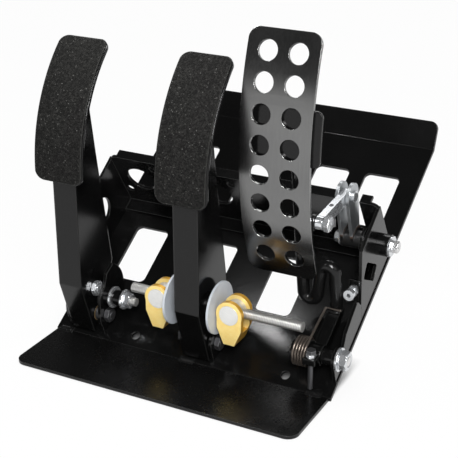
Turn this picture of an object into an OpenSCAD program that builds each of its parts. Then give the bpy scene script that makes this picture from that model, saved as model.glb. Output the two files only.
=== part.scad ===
// Floor-mounted pedal box: clutch, brake and throttle pedals on a folded steel base.
// Frame: X to the right, Y away from the driver, Z up; origin under the middle of the heel plate.

/* [Base] */
// Width of the heel plate
heel_w = 290; // [280:1:294]
// Depth of the heel plate, from its front edge to the fold
heel_d = 73.5; // [66:0.5:82]
// Thickness of every folded sheet
sheet = 3; // [2.5:0.1:3.2]
// Width of the ramp plate
ramp_w = 294; // [293:1:300]
// Length of the ramp along its slope
ramp_len = 293; // [285:1:305]
// Slope of the ramp
ramp_angle = 32; // [31:0.1:33]
// Slope of the folded top edge
flange_angle = 68; // [60:1:76]
// Length of the folded top edge
flange_len = 28; // [20:1:34]
// Diameter of the holes that bolt the ramp down
base_hole_d = 8.5; // [6.5:0.1:9]

/* [Windows] */
// Width of each window in the ramp
window_w = 36.5; // [30:0.5:38]
// Distance from the fold to the lower row of windows
low_window_s = 70; // [68:1:74]
// Length of the lower windows
low_window_len = 64; // [50:1:66]
// Distance from the fold to the upper row of windows
up_window_s = 174; // [172:1:180]
// Length of the upper windows
up_window_len = 77; // [60:1:80]
// Corner radius of the windows
window_r = 6; // [4:0.5:9]

/* [Cylinder bracket] */
// Distance from the fold to the bracket's face
bracket_s = 163.5; // [162:0.5:166]
// Height of the bracket above the ramp
bracket_h = 72; // [70:1:78]
// Height of the master cylinder axes above the ramp
cylinder_h = 42; // [40:0.5:43]
// Diameter of the master cylinder holes
cylinder_d = 32; // [24:0.5:33]
// Distance between the two bolts of a master cylinder
cylinder_pcd = 57; // [52:0.5:58]
// Diameter of those bolt holes
cylinder_bolt_d = 8.5; // [6.5:0.1:9]

/* [Pedals] */
// Middle of the clutch pedal
clutch_x = -116.5; // [-118:0.5:-115]
// Middle of the brake pedal
brake_x = 10.5; // [9.5:0.5:11.5]
// Width of the pedal arms
arm_w = 25; // [22:0.5:26]
// Distance of the pedal pivots behind the fold
pivot_back = 10.5; // [10:0.5:11.5]
// Height of the pedal pivots above the floor
pivot_z = 25; // [25:0.5:26]
// Height of the bend in the arm's front face
kink_z = 62; // [58:1:66]
// Width of the foot pads
pad_w = 52; // [46:1:53]
// Radius of the foot pads' curve
pad_r = 150; // [140:1:160]
// Height at which the pads face the driver squarely
pad_mid_z = 177; // [175:1:180]
// Angle from the square point to the top of a pad
pad_top_angle = 50.8; // [46:0.1:52]

/* [Bias bar] */
// Diameter of the balance bar
bar_d = 9.5; // [9:0.1:10]
// Height of the balance bar above the floor
bar_z = 63; // [62:0.5:64]
// Left end of the balance bar
bar_left = -61; // [-66:1:-50]
// Right end of the balance bar
bar_right = 115; // [100:1:116]
// Middle of the left clevis
clevis_left_x = -28.5; // [-31:0.5:-28.5]
// Middle of the right clevis
clevis_right_x = 46.5; // [46.5:0.5:50]
// Width of a clevis
clevis_w = 26; // [24:0.5:26]
// Diameter of the pale side washers
side_washer_d = 50; // [40:1:52]

/* [Throttle] */
// Middle of the throttle plate
plate_x = 78; // [77:0.5:79]
// Width of the throttle plate
plate_w = 68; // [64:1:70]
// Radius of the throttle plate's curve
plate_r = 291; // [285:1:300]
// Height of the middle of the throttle plate
plate_mid_z = 207; // [205:1:209]
// Half of the angle that the throttle plate spans
plate_half_angle = 22.3; // [21.8:0.1:22.6]
// Diameter of the holes in the throttle plate
plate_hole_d = 18.4; // [14:0.2:20]
// Rows of holes in the throttle plate
plate_rows = 8; // [6:1:8]
// Diameter of the bent throttle bar
rod_d = 11.5; // [10:0.5:12]
// Outer diameter of the crank's pivot tube
tube_d = 21; // [18:0.5:22]

/* [Hidden] */
$fn = 64;

// Finishes as the photo shows them
black = [0.09, 0.09, 0.10];
charcoal = [0.22, 0.22, 0.23];
zinc = [0.78, 0.79, 0.81];
steel = [0.66, 0.66, 0.68];
gold = [0.80, 0.62, 0.20];
pale = [0.86, 0.88, 0.90];
bronze = [0.62, 0.45, 0.22];

// Fits: a pin that turns in a bore, and two plates that pass each other
running = 0.05;
side_gap = 1;
// A bar between two round eyes is a little narrower than the eyes
waist = 0.95;
// A plate's round corner meets its sides at a slight angle
corner_ease = 1.01;

// The fold between heel plate and ramp, and a point on the ramp as (Y, Z)
fold_y = heel_d / 2;
heel_top = sheet;
ramp_cos = cos(ramp_angle);
ramp_sin = sin(ramp_angle);
function ramp_point(s, h) = [fold_y + s * ramp_cos - h * ramp_sin, heel_top + s * ramp_sin + h * ramp_cos];
function ramp_s(p) = (p[0] - fold_y) * ramp_cos + (p[1] - heel_top) * ramp_sin;
function ramp_h(p) = (p[1] - heel_top) * ramp_cos - (p[0] - fold_y) * ramp_sin;
function towards(a, b, t) = a + t * (b - a);

// Windows: three between the pedals, four above the cylinder bracket
low_window_mid = -21.5;
low_window_pitch = 80;
low_window_x = [for (i = [-1:1]) low_window_mid + i * low_window_pitch];
up_window_x = [-94, -19.5, 54.5, 108];
base_holes = [[-62, 12], [98, 11], [0, 272]];
heel_corner_r = 11;
flange_corner_r = 8;

// Bracket outline: side walls rise from the ramp and lean back to the face
bracket_half = ramp_w / 2 - 1;
lip_len = 10;
foot_len = 14;
wall_low = [84, 0];
wall_knee = [90, 17];
wall_top = [116, 65];
wall_hole = [121, 36];
wall_hole_r = 13.5;
wall_window = [120, 28.5];
wall_window_size = [16, 29];
cylinder_x = [clutch_x, clevis_left_x, clevis_right_x];

// Pedal arm outline in (Y, Z), shared by clutch and brake
pivot = [fold_y + pivot_back, pivot_z];
arm_front = fold_y - 16.5;
arm_low = [fold_y + 2, heel_top + 4.5];
arm_knee = [fold_y + 38.5, 71];
arm_shoulder_z = pad_mid_z - 1;
arm_top_rise = 73;
arm_top_z = pad_mid_z + arm_top_rise;
arm_back_top = [fold_y + 9, arm_top_z];
arm_back_mid = [fold_y + 20.4, arm_shoulder_z];
pivot_boss_r = 11;
bush_r = 8;
pivot_bolt_r = 4;
grip_t = 1.4;
grip_inset = 1;
pad_corner_r = 10;
pad_low_angle = -3;
pad_centre = [fold_y - 25.5 + pad_r, pad_mid_z];
pad_back_r = pad_r - grip_t - sheet;
push_rod_at = [fold_y + 5.5, 53.5];
push_rod_bolt_r = 4;

// Cheeks that carry the pedals
cheek_r = 12;
cheek_offset = 19.5;
clutch_right_cheek_x = clutch_x + cheek_offset;
stud_at = [pivot[0], pivot_z + 20.5];
stud_r = 4;
stud_len = 37;
stud_end = clutch_right_cheek_x + stud_len;
lobe_r = 31.5;
bolt_head_t = 5;
nut_t = 5.4;
hex_m8 = 13;

// Balance bar and clevises
bar_y = fold_y + 7.5;
bar_at = [bar_y, bar_z];
bar_r = bar_d / 2;
bias_tube_r = 12.5;
bias_tube_in = 9.5;
bias_tube_left = brake_x - 18.5;
bias_tube_right = brake_x + 18;
side_washer_t = 2;
side_washer_x = [brake_x - 25, brake_x + 20];
trunnion_r = 9.5;
clevis_half_depth = 11;
clevis_slot_half = 6.2;
clevis_bottom = 30;
clevis_bridge = 18;

// Throttle plate and its bent bar
plate_centre = [fold_y + 20.5 + plate_r, plate_mid_z];
plate_back_r = plate_r - sheet;
hole_pitch_angle = 2 * (plate_half_angle - 3.5) / 7;
hole_half_pitch = 14.3;
plate_corner_r = 11;
plate_tail_angle = 1.1;
plate_head_angle = 0.3;
back_plate_corner_r = 6;
back_plate_span = [0, 9.8];
back_plate_x = [plate_x - 18, plate_x + 41.5];
hinge_at = [fold_y + 17, 34];
hinge_r = 5;
lever_w = 12;
lever_inset = 26.5;
lever_x = [bracket_half - lever_inset, bracket_half - lever_inset + lever_w];
lever_t = 8;
lever_hub_r = 9.5;
rod_r = rod_d / 2;
rod_tilt = 8.9;
rod_bend_r = 7;
rod_right_x = (lever_x[0] + lever_x[1]) / 2;
rod_top_turn = 37;
rod_low_turn = 11;
rod_lie_end = 9;
rod_plane = [fold_y + 58.2, 62];
foot_boss_r = 7;
foot_boss_t = 4;
screw_r = 2.5;
screw_at = [fold_y + 2.5, hinge_at[1]];
screw_gap = 0.5;
screw_tab_t = 6;
screw_tab_drop = 2;
screw_tab_end = 5;

// Crank, its pivot and the link
tube_r = tube_d / 2;
crank_s = 148;
crank_h = 34.5;
crank_at = ramp_point(crank_s, crank_h);
tube_len = 27.5;
tube_out = 11;
tube_x = [bracket_half + tube_out - tube_len, bracket_half + tube_out];
crank_lug_x = tube_x[0] + 1.5;
crank_bolt_r = 3;
hub_len = 19;
crank_hub_x = [tube_x[0] - 0.7 - hub_len, tube_x[0] - 0.7];
hex_m6 = 10;
fork_t = 3;
fork_reach = 12.9;
fork_rise = 48;
fork_pin_at = crank_at + [-fork_reach, fork_rise];
fork_pin_r = 3;
fork_eye_r = 12;
hub_r = 8.5;
link_w = 6.5;
link_x = [crank_hub_x[0] + 3.7, crank_hub_x[0] + 3.7 + link_w];
rod_link_gap = 20.5;
rod_left_x = link_x[0] - rod_link_gap;
fork_x = [link_x[0] - fork_t - 0.4, link_x[1] + 0.4];
crank_notch_x = [fork_x[0] - 2.3, fork_x[1] + fork_t + 3.3];
crank_notch_h = 32;
link_pin_back = 36;
link_pin_z = 153;
link_pin_at = [fold_y + link_pin_back, link_pin_z];
link_pin_r = 2.5;
link_eye_play = 1.1;
link_half = 6;
side_plate_x = bracket_half - sheet;
side_plate_step = [72, 26];
side_plate_dip = [54, 23];

// Torsion spring around the hinge bolt
spring_turns = 4;
spring_wire_r = 1.2;
spring_r = 13;
spring_len = 11;
spring_x = [lever_x[0] - 2.5 - spring_len, lever_x[0] - 2.5];

// Small shared shapes
module along_x(x0, x1) {
    translate([x0, 0, 0]) rotate([90, 0, 90]) linear_extrude(x1 - x0) children();
}
module on_ramp() {
    translate([0, fold_y, heel_top]) rotate([ramp_angle, 0, 0]) children();
}
module at(p) {
    translate([0, p[0], p[1]]) children();
}
module rod_x(x0, x1, r) {
    translate([x0, 0, 0]) rotate([0, 90, 0]) cylinder(h = x1 - x0, r = r);
}
module ring_x(x0, x1, r, bore) {
    difference() {
        rod_x(x0, x1, r);
        rod_x(x0 - 1, x1 + 1, bore);
    }
}
module hex_x(x0, x1, flats) {
    translate([x0, 0, 0]) rotate([0, 90, 0]) cylinder(h = x1 - x0, d = flats / cos(30), $fn = 6);
}
module nut_x(x0, x1, flats, bore) {
    difference() {
        hex_x(x0, x1, flats);
        rod_x(x0 - 1, x1 + 1, bore);
    }
}
module rounded_rect(w, h, r) {
    translate([-w / 2 + r, -h / 2]) square([w - 2 * r, h]);
    translate([-w / 2, -h / 2 + r]) square([w, h - 2 * r]);
    for (x = [-1, 1], y = [-1, 1]) translate([x * (w / 2 - r), y * (h / 2 - r)]) circle(r);
}
module bar_x(x0, x1, a, b, r_a, r_b) {
    d = (b - a) / norm(b - a);
    side = [-d[1], d[0]] * waist;
    along_x(x0, x1) polygon([a + side * r_a, b + side * r_b, b - side * r_b, a - side * r_a]);
    at(a) rod_x(x0, x1, r_a);
    at(b) rod_x(x0, x1, r_b);
}

// Cuts the two corners round at one end of a curved plate
module corner_trims(x, w, centre, r, angle, corner, up) {
    depth = 30;
    at(centre) translate([x, 0, 0]) rotate([-angle, 0, 0]) mirror([0, 0, up ? 0 : 1])
        for (side = [0, 1]) mirror([side, 0, 0])
            translate([w / 2 - corner, depth / 2 - r, -corner]) rotate([90, 0, 0]) linear_extrude(depth)
                difference() {
                    square(2 * corner);
                    circle(corner * corner_ease);
                }
}

// A plate curved about an axis along X, convex to the driver, from a low to a high angle
module curved_plate(x, w, centre, r, t, low, high, corner) {
    difference() {
        at(centre) translate([x, 0, 0]) rotate([-90 - high, 0, 0]) rotate([0, 90, 0])
            rotate_extrude(angle = high - low, $fn = 180) translate([r - t, -w / 2]) square([t, w]);
        corner_trims(x, w, centre, r, high, corner, true);
        corner_trims(x, w, centre, r, low, corner, false);
    }
}

// A round bar swept along a path, as one closed solid
function unit(v) = v / norm(v);
function path_dir(path, i) = unit(path[min(i + 1, len(path) - 1)] - path[max(i - 1, 0)]);
function path_ring(path, i, r, sides) = let (
        d = path_dir(path, i),
        u = unit(cross(d, abs(d[0]) > 0.8 ? [0, 0, 1] : [1, 0, 0])),
        v = cross(d, u)
    ) [for (k = [0:sides - 1]) path[i] + r * (cos(360 * k / sides) * u + sin(360 * k / sides) * v)];
module swept(path, r, sides) {
    n = len(path);
    points = [for (i = [0:n - 1]) each path_ring(path, i, r, sides)];
    faces = [for (i = [0:n - 2], k = [0:sides - 1]) let (next = (k + 1) % sides)
        [i * sides + k, i * sides + next, (i + 1) * sides + next, (i + 1) * sides + k]];
    first = [for (k = [sides - 1:-1:0]) k];
    last = [for (k = [0:sides - 1]) (n - 1) * sides + k];
    polyhedron(points, concat([first], faces, [last]));
}

// Base
module heel_plate() {
    color(black) linear_extrude(sheet) {
        translate([-heel_w / 2, -heel_d / 2 + heel_corner_r]) square([heel_w, heel_d - heel_corner_r]);
        translate([-heel_w / 2 + heel_corner_r, -heel_d / 2]) square([heel_w - 2 * heel_corner_r, heel_d]);
        for (side = [-1, 1])
            translate([side * (heel_w / 2 - heel_corner_r), -heel_d / 2 + heel_corner_r]) circle(heel_corner_r);
    }
}

ramp_end = ramp_point(ramp_len, 0);
flange_end = ramp_end + flange_len * [cos(flange_angle), sin(flange_angle)];
module ramp_profile() {
    mid_angle = (ramp_angle + flange_angle) / 2;
    under = sheet / cos((flange_angle - ramp_angle) / 2);
    polygon([
        [fold_y, 0],
        [fold_y + sheet * tan(ramp_angle / 2), 0],
        ramp_end + under * [sin(mid_angle), -cos(mid_angle)],
        flange_end + sheet * [sin(flange_angle), -cos(flange_angle)],
        flange_end,
        ramp_end,
        [fold_y, heel_top],
    ]);
}
module flange_corner_trim(side) {
    at(flange_end) rotate([flange_angle, 0, 0]) mirror([side < 0 ? 1 : 0, 0, 0])
        translate([ramp_w / 2 - flange_corner_r, -flange_corner_r, -2 * sheet]) linear_extrude(4 * sheet)
            difference() {
                square(2 * flange_corner_r);
                circle(flange_corner_r);
            }
}
module window(x, s, len) {
    translate([x, s + len / 2, -2 * sheet]) linear_extrude(4 * sheet) rounded_rect(window_w, len, window_r);
}
module ramp_plate() {
    color(black) difference() {
        along_x(-ramp_w / 2, ramp_w / 2) ramp_profile();
        on_ramp() {
            for (x = low_window_x) window(x, low_window_s, low_window_len);
            for (x = up_window_x) window(x, up_window_s, up_window_len);
            for (p = base_holes) translate([p[0], p[1], -2 * sheet]) cylinder(h = 4 * sheet, d = base_hole_d);
        }
        for (side = [-1, 1]) flange_corner_trim(side);
    }
}

weld_len = 16;
weld_leg = 4;
weld_x = [12 - ramp_w / 2, 0, ramp_w / 2 - 17];
module stitch_welds() {
    color(charcoal) for (x = weld_x)
        along_x(x - weld_len / 2, x + weld_len / 2)
            polygon([
                [fold_y - weld_leg, heel_top],
                [fold_y, heel_top],
                [fold_y + weld_leg * ramp_cos, heel_top + weld_leg * ramp_sin],
                [fold_y, heel_top + 0.45 * weld_leg],
                [fold_y - 0.6 * weld_leg, heel_top + 0.25 * weld_leg],
            ]);
}

module wall_outline() {
    polygon([wall_low, [bracket_s + sheet, 0], [bracket_s + sheet, bracket_h - 4], wall_top, wall_knee]);
}
module bracket_face() {
    corner = 9;
    translate([-bracket_half, 0]) square([2 * bracket_half, bracket_h - corner]);
    translate([-bracket_half + corner, 0]) square([2 * (bracket_half - corner), bracket_h]);
    for (side = [-1, 1]) translate([side * (bracket_half - corner), bracket_h - corner]) circle(corner);
}
module cylinder_holes(x) {
    diagonal = cylinder_pcd / 2 * cos(45);
    translate([x, 0, cylinder_h]) rotate([-90, 0, 0]) cylinder(h = 4 * sheet, d = cylinder_d, center = true);
    for (side = [-1, 1])
        translate([x + side * diagonal, 0, cylinder_h + side * diagonal]) rotate([-90, 0, 0])
            cylinder(h = 4 * sheet, d = cylinder_bolt_d, center = true);
}
module cylinder_bracket() {
    lip_half = bracket_half - 9;
    color(black) on_ramp() difference() {
        union() {
            translate([0, bracket_s + sheet, 0]) rotate([90, 0, 0]) linear_extrude(sheet) bracket_face();
            translate([-lip_half, bracket_s, bracket_h - sheet]) cube([2 * lip_half, lip_len, sheet]);
            translate([-bracket_half, bracket_s - foot_len, 0]) cube([2 * bracket_half, foot_len, sheet]);
            along_x(-bracket_half, -bracket_half + sheet) wall_outline();
            along_x(bracket_half - sheet, bracket_half) wall_outline();
        }
        for (x = cylinder_x) translate([0, bracket_s + sheet / 2, 0]) cylinder_holes(x);
        at(wall_hole) rod_x(-bracket_half - 1, -bracket_half + sheet + 1, wall_hole_r);
        translate([bracket_half - 2 * sheet, wall_window[0], wall_window[1]]) rotate([90, 0, 90])
            linear_extrude(4 * sheet) rotate(ramp_angle) rounded_rect(wall_window_size[0], wall_window_size[1], 3);
        at([ramp_s(crank_at), ramp_h(crank_at)]) rod_x(bracket_half - 2 * sheet, bracket_half + 1, tube_r);
        translate([crank_notch_x[0], bracket_s - 1, crank_notch_h])
            cube([crank_notch_x[1] - crank_notch_x[0], lip_len + 2, bracket_h]);
    }
}

// Plate at the right edge that carries the throttle hinge
module throttle_side_plate() {
    hinge = [ramp_s(hinge_at), ramp_h(hinge_at)];
    color(black) on_ramp() difference() {
        along_x(side_plate_x, bracket_half) {
            polygon([
                [hinge[0] - 15, 0], wall_low, wall_knee, wall_knee + [-4, 11], side_plate_step, side_plate_dip,
                hinge + [10, -3], hinge + [-10.5, 2],
            ]);
            translate(hinge) circle(11);
        }
        at(hinge) rod_x(side_plate_x - 1, bracket_half + 1, hinge_r);
    }
}

// Pedal pivots
module cheek_outline() {
    p = [ramp_s(pivot), ramp_h(pivot)];
    polygon([p + [-15, -p[1]], p + [19, -p[1]], p + [11.5, 3], p + [-11.5, 3]]);
    translate(p) circle(cheek_r);
}
module cheek(x) {
    color(black) difference() {
        on_ramp() along_x(x, x + sheet) cheek_outline();
        at(pivot) rod_x(x - 1, x + sheet + 1, pivot_bolt_r);
    }
}
module clutch_left_cheek() cheek(clutch_x - arm_w / 2 - side_gap - sheet);
module brake_left_cheek() cheek(brake_x - arm_w / 2 - side_gap - sheet);
module brake_right_cheek() cheek(brake_x + arm_w / 2 + side_gap);

// The clutch's right cheek has a round lobe behind the pivot and holds the side stud
module clutch_right_cheek() {
    stud = [ramp_s(stud_at), ramp_h(stud_at)];
    x = clutch_right_cheek_x;
    color(black) difference() {
        on_ramp() along_x(x, x + sheet) {
            cheek_outline();
            intersection() {
                translate(stud) circle(lobe_r, $fn = 96);
                polygon([[8, 0], [70, 0], [70, 47], stud + [13, 17], stud + [4, 9.5], stud + [-9, 7], [8, 14]]);
            }
        }
        at(pivot) rod_x(x - 1, x + sheet + 1, pivot_bolt_r);
        at(stud_at) rod_x(x - 1, x + sheet + 1, stud_r);
    }
}
module pivot_bolt(x0, x1) {
    color(charcoal) at(pivot) {
        rod_x(x0, x1, pivot_bolt_r);
        hex_x(x0 - bolt_head_t, x0, hex_m8);
    }
}
module clutch_pivot_bolt()
    pivot_bolt(clutch_x - arm_w / 2 - side_gap - sheet, clutch_right_cheek_x + sheet + nut_t + 1);
module brake_pivot_bolt()
    pivot_bolt(brake_x - arm_w / 2 - side_gap - sheet, brake_x + arm_w / 2 + side_gap + sheet + nut_t);
module clutch_pivot_nut()
    color(charcoal) at(pivot) {
        x = clutch_right_cheek_x + sheet;
        nut_x(x, x + nut_t, hex_m8, pivot_bolt_r);
    }
module brake_pivot_nut()
    color(charcoal) at(pivot) {
        x = brake_x + arm_w / 2 + side_gap + sheet;
        nut_x(x, x + nut_t, hex_m8, pivot_bolt_r);
    }
module clutch_pivot_spacer()
    color(charcoal) at(pivot)
        ring_x(clutch_x + arm_w / 2 + side_gap, clutch_right_cheek_x, 7.5, pivot_bolt_r);

// Fixed stud beside the clutch with two dark sleeves between bright washers
stud_stack = [clutch_right_cheek_x + sheet, 8, 2, 10, 2, 7];
function stud_x(i) = i == 0 ? stud_stack[0] : stud_x(i - 1) + stud_stack[i];
module side_stud() color(steel) at(stud_at) rod_x(clutch_right_cheek_x, stud_end, stud_r);
module stud_sleeves()
    color(black) at(stud_at) {
        ring_x(stud_x(0), stud_x(1), 8.5, stud_r);
        ring_x(stud_x(2), stud_x(3), 7.5, stud_r);
    }
module stud_washers()
    color(zinc) at(stud_at) {
        ring_x(stud_x(1), stud_x(2), 10.5, stud_r);
        ring_x(stud_x(3), stud_x(4), 9.5, stud_r);
    }
module stud_nut() color(zinc) at(stud_at) nut_x(stud_x(4), stud_x(5), hex_m8, stud_r);

// Pedals: a folded channel arm, a curved pad plate and a grit face
module arm_side() {
    polygon([
        arm_low, [arm_front, kink_z], [arm_front, arm_shoulder_z], arm_back_mid, arm_knee,
        pivot + [15, 20], pivot + [10.5, 4], pivot + [-2, -8],
    ]);
    translate(pivot) circle(pivot_boss_r);
    intersection() {
        polygon([[pad_centre[0] - pad_r, arm_shoulder_z], arm_back_mid, arm_back_top, [arm_front - 10, arm_top_z]]);
        translate(pad_centre) circle(pad_back_r, $fn = 180);
    }
}
module arm_web() {
    d = (arm_low - [arm_front, kink_z]) / norm(arm_low - [arm_front, kink_z]);
    inward = [-d[1], d[0]] * sheet;
    translate([arm_front, kink_z]) square([sheet, arm_shoulder_z - kink_z]);
    polygon([[arm_front, kink_z], arm_low, arm_low + inward, [arm_front, kink_z] + inward,
        [arm_front + sheet, kink_z]]);
}
module pedal_arm(x, hole_at, hole_r) {
    color(black) difference() {
        union() {
            along_x(x - arm_w / 2, x - arm_w / 2 + sheet) arm_side();
            along_x(x + arm_w / 2 - sheet, x + arm_w / 2) arm_side();
            along_x(x - arm_w / 2, x + arm_w / 2) arm_web();
        }
        at(pivot) rod_x(x - arm_w, x + arm_w, bush_r);
        at(hole_at) rod_x(x - arm_w, x + arm_w, hole_r);
    }
}
module pad_plate(x)
    color(black)
        curved_plate(x, pad_w, pad_centre, pad_r - grip_t, sheet, pad_low_angle, pad_top_angle, pad_corner_r);
module grip(x) {
    inset_angle = grip_inset / pad_r * 180 / PI;
    color(charcoal)
        curved_plate(x, pad_w - 2 * grip_inset, pad_centre, pad_r, grip_t, pad_low_angle + inset_angle,
            pad_top_angle - inset_angle, pad_corner_r - grip_inset);
}
module bush(x) color(bronze) at(pivot) ring_x(x - arm_w / 2, x + arm_w / 2, bush_r, pivot_bolt_r + running);

module clutch_arm() pedal_arm(clutch_x, push_rod_at, push_rod_bolt_r);
module clutch_pad_plate() pad_plate(clutch_x);
module clutch_grip() grip(clutch_x);
module clutch_bush() bush(clutch_x);
module push_rod_bolt()
    color(zinc) at(push_rod_at) {
        rod_x(clutch_x - arm_w / 2, clutch_x + arm_w / 2 + nut_t + 0.6, push_rod_bolt_r);
        hex_x(clutch_x - arm_w / 2 - bolt_head_t, clutch_x - arm_w / 2, hex_m8);
    }
module push_rod_nut()
    color(zinc) at(push_rod_at)
        nut_x(clutch_x + arm_w / 2, clutch_x + arm_w / 2 + nut_t, hex_m8, push_rod_bolt_r);

module brake_arm() pedal_arm(brake_x, bar_at, bias_tube_r);
module brake_pad_plate() pad_plate(brake_x);
module brake_grip() grip(brake_x);
module brake_bush() bush(brake_x);
module bias_tube() color(black) at(bar_at) ring_x(bias_tube_left, bias_tube_right, bias_tube_r, bias_tube_in);

// Balance bar: it tilts on a ball in the tube, and a clevis hangs from each trunnion
module bias_bar() color(steel) at(bar_at) rod_x(bar_left, bar_right, bar_r);
module bias_bearing()
    color(steel) at(bar_at) translate([brake_x, 0, 0]) rotate([0, 90, 0]) rotate_extrude($fn = 96)
        intersection() {
            circle(bias_tube_in - running);
            translate([bar_r, -7]) square([bias_tube_in, 14]);
        }
module side_washers()
    color(pale) at(bar_at) for (x = side_washer_x) ring_x(x, x + side_washer_t, side_washer_d / 2, bar_r);
module trunnion(x)
    color(zinc) at(bar_at) difference() {
        translate([x, 0, 0]) rotate([90, 0, 0])
            cylinder(h = 2 * clevis_half_depth + 1, r = trunnion_r, center = true);
        rod_x(x - 2 * trunnion_r, x + 2 * trunnion_r, bar_r + running);
    }
module clevis_face() {
    flat = clevis_w / 2 * waist;
    polygon([[-flat, 2], [flat, 2], [flat, -14], [5.5, -clevis_bottom], [-5.5, -clevis_bottom], [-flat, -14]]);
}
module clevis(x) {
    slot_top = clevis_w;
    color(gold) at(bar_at) translate([x, 0, 0]) difference() {
        rotate([90, 0, 0]) union() {
            linear_extrude(2 * clevis_half_depth, center = true) clevis_face();
            cylinder(h = 2 * clevis_half_depth, d = clevis_w, center = true);
        }
        translate([-clevis_w, -clevis_slot_half, -clevis_bridge])
            cube([2 * clevis_w, 2 * clevis_slot_half, slot_top + clevis_bridge]);
        rotate([90, 0, 0]) cylinder(h = 3 * clevis_half_depth, r = trunnion_r, center = true);
        translate([0, 0, -clevis_bottom - 1]) cylinder(h = clevis_bottom, r = 3.4);
    }
}
module left_trunnion() trunnion(clevis_left_x);
module left_clevis() clevis(clevis_left_x);
module right_trunnion() trunnion(clevis_right_x);
module right_clevis() clevis(clevis_right_x);

// Throttle pedal: perforated curved plate on a bent round bar and a flat lever
module throttle_plate() {
    color(black) difference() {
        curved_plate(plate_x, plate_w, plate_centre, plate_r, sheet, -plate_half_angle - plate_tail_angle,
            plate_half_angle + plate_head_angle, plate_corner_r);
        for (row = [0:plate_rows - 1], side = [-1, 1])
            at(plate_centre) rotate([-(row - (plate_rows - 1) / 2) * hole_pitch_angle, 0, 0])
                translate([plate_x + side * hole_half_pitch, -plate_r, 0]) rotate([90, 0, 0])
                    cylinder(h = 8 * sheet, d = plate_hole_d, center = true);
    }
}
module throttle_back_plate() {
    x = (back_plate_x[0] + back_plate_x[1]) / 2;
    color(black)
        curved_plate(x, back_plate_x[1] - back_plate_x[0], plate_centre, plate_back_r, sheet,
            back_plate_span[0], back_plate_span[1], back_plate_corner_r);
}

// The bent bar: up from the lever, over, down and up again, then along the back of the back plate.
// Its legs lie in a plane that leans towards the driver; in it x runs right and y runs up.
rod_up = [-sin(rod_tilt), cos(rod_tilt)];
function rod_point(x, y) = let (p = rod_plane + y * rod_up) [x, p[0], p[1]];
top_turn = [rod_right_x - rod_bend_r, rod_top_turn];
low_turn = [rod_left_x + rod_bend_r, rod_low_turn];
turn_gap = low_turn - top_turn;
turn_angle = atan2(turn_gap[1], turn_gap[0]) + 360 - acos(2 * rod_bend_r / norm(turn_gap));
turn_steps = 9;
lie_steps = 5;
lie_r = plate_back_r - sheet - rod_r;
to_leg = rod_plane - plate_centre;
leg_end = -to_leg * rod_up + sqrt(pow(to_leg * rod_up, 2) - to_leg * to_leg + lie_r * lie_r);
lie_start = asin((to_leg + leg_end * rod_up)[1] / lie_r);
rod_path = concat(
    [rod_point(rod_right_x, 0)],
    [for (i = [0:turn_steps]) let (a = turn_angle * i / turn_steps)
        rod_point(top_turn[0] + rod_bend_r * cos(a), top_turn[1] + rod_bend_r * sin(a))],
    [for (i = [turn_steps:-1:0]) let (a = 180 + turn_angle * i / turn_steps)
        rod_point(low_turn[0] + rod_bend_r * cos(a), low_turn[1] + rod_bend_r * sin(a))],
    [for (i = [0:lie_steps]) let (a = towards(lie_start, rod_lie_end, i / lie_steps))
        [rod_left_x, plate_centre[0] - lie_r * cos(a), plate_mid_z + lie_r * sin(a)]]
);
module throttle_bar() color(black) swept(rod_path, rod_r, 20);
// The lever's foot boss stands square under the bar
module in_rod_plane() {
    at(rod_plane) rotate([rod_tilt, 0, 0]) rotate([90, 0, 0]) children();
}
module throttle_lever() {
    foot = rod_plane + foot_boss_t * [sin(rod_tilt), -cos(rod_tilt)];
    color(black) difference() {
        union() {
            at(hinge_at) rod_x(lever_x[0], lever_x[1], lever_hub_r);
            bar_x(lever_x[0], lever_x[1], hinge_at, foot + [-3, -0.5], lever_t / 2, lever_t / 2);
            along_x(lever_x[0], lever_x[1])
                translate([screw_at[0] - screw_tab_end, hinge_at[1] - screw_tab_drop])
                    square([hinge_at[0] - screw_at[0] + screw_tab_end, screw_tab_t]);
            in_rod_plane() translate([rod_right_x, -foot_boss_t, 0]) rotate([-90, 0, 0])
                cylinder(h = foot_boss_t, r = foot_boss_r);
        }
        at(hinge_at) rod_x(lever_x[0] - 1, lever_x[1] + 1, hinge_r + running);
        translate([rod_right_x, screw_at[0], 0]) cylinder(h = 2 * hinge_at[1], r = screw_r);
    }
}
screw_tip_z = ramp_point(0, 0)[1] + (screw_at[0] + screw_r - fold_y) * tan(ramp_angle) + screw_gap;
tab_top_z = hinge_at[1] + screw_tab_t - screw_tab_drop;
module idle_screw()
    color(zinc) translate([rod_right_x, screw_at[0], 0]) {
        translate([0, 0, screw_tip_z]) cylinder(h = tab_top_z + 4 - screw_tip_z, r = screw_r);
        translate([0, 0, tab_top_z + 4]) cylinder(h = 3.5, d = 8 / cos(30), $fn = 6);
    }
module idle_nut()
    color(zinc) translate([rod_right_x, screw_at[0], tab_top_z]) difference() {
        cylinder(h = 4, d = 8 / cos(30), $fn = 6);
        translate([0, 0, -1]) cylinder(h = 6, r = screw_r);
    }

// Tab behind the throttle plate, with the pin that drives the link
module link_tab() {
    x1 = link_x[0] - 0.5;
    color(black) difference() {
        intersection() {
            bar_x(x1 - sheet - 1, x1, link_pin_at, link_pin_at + [-14, 0], 7, 7);
            at(plate_centre) rod_x(x1 - sheet - 2, x1 + 1, plate_back_r, $fn = 180);
        }
        at(link_pin_at) rod_x(x1 - 10, x1 + 1, link_pin_r);
    }
}
module link_pin()
    color(zinc) at(link_pin_at) {
        rod_x(link_x[0] - 0.5 - sheet - 1, link_x[1] + 1, link_pin_r);
        hex_x(link_x[1] + 1, link_x[1] + 1 + nut_t, hex_m8);
    }

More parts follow.
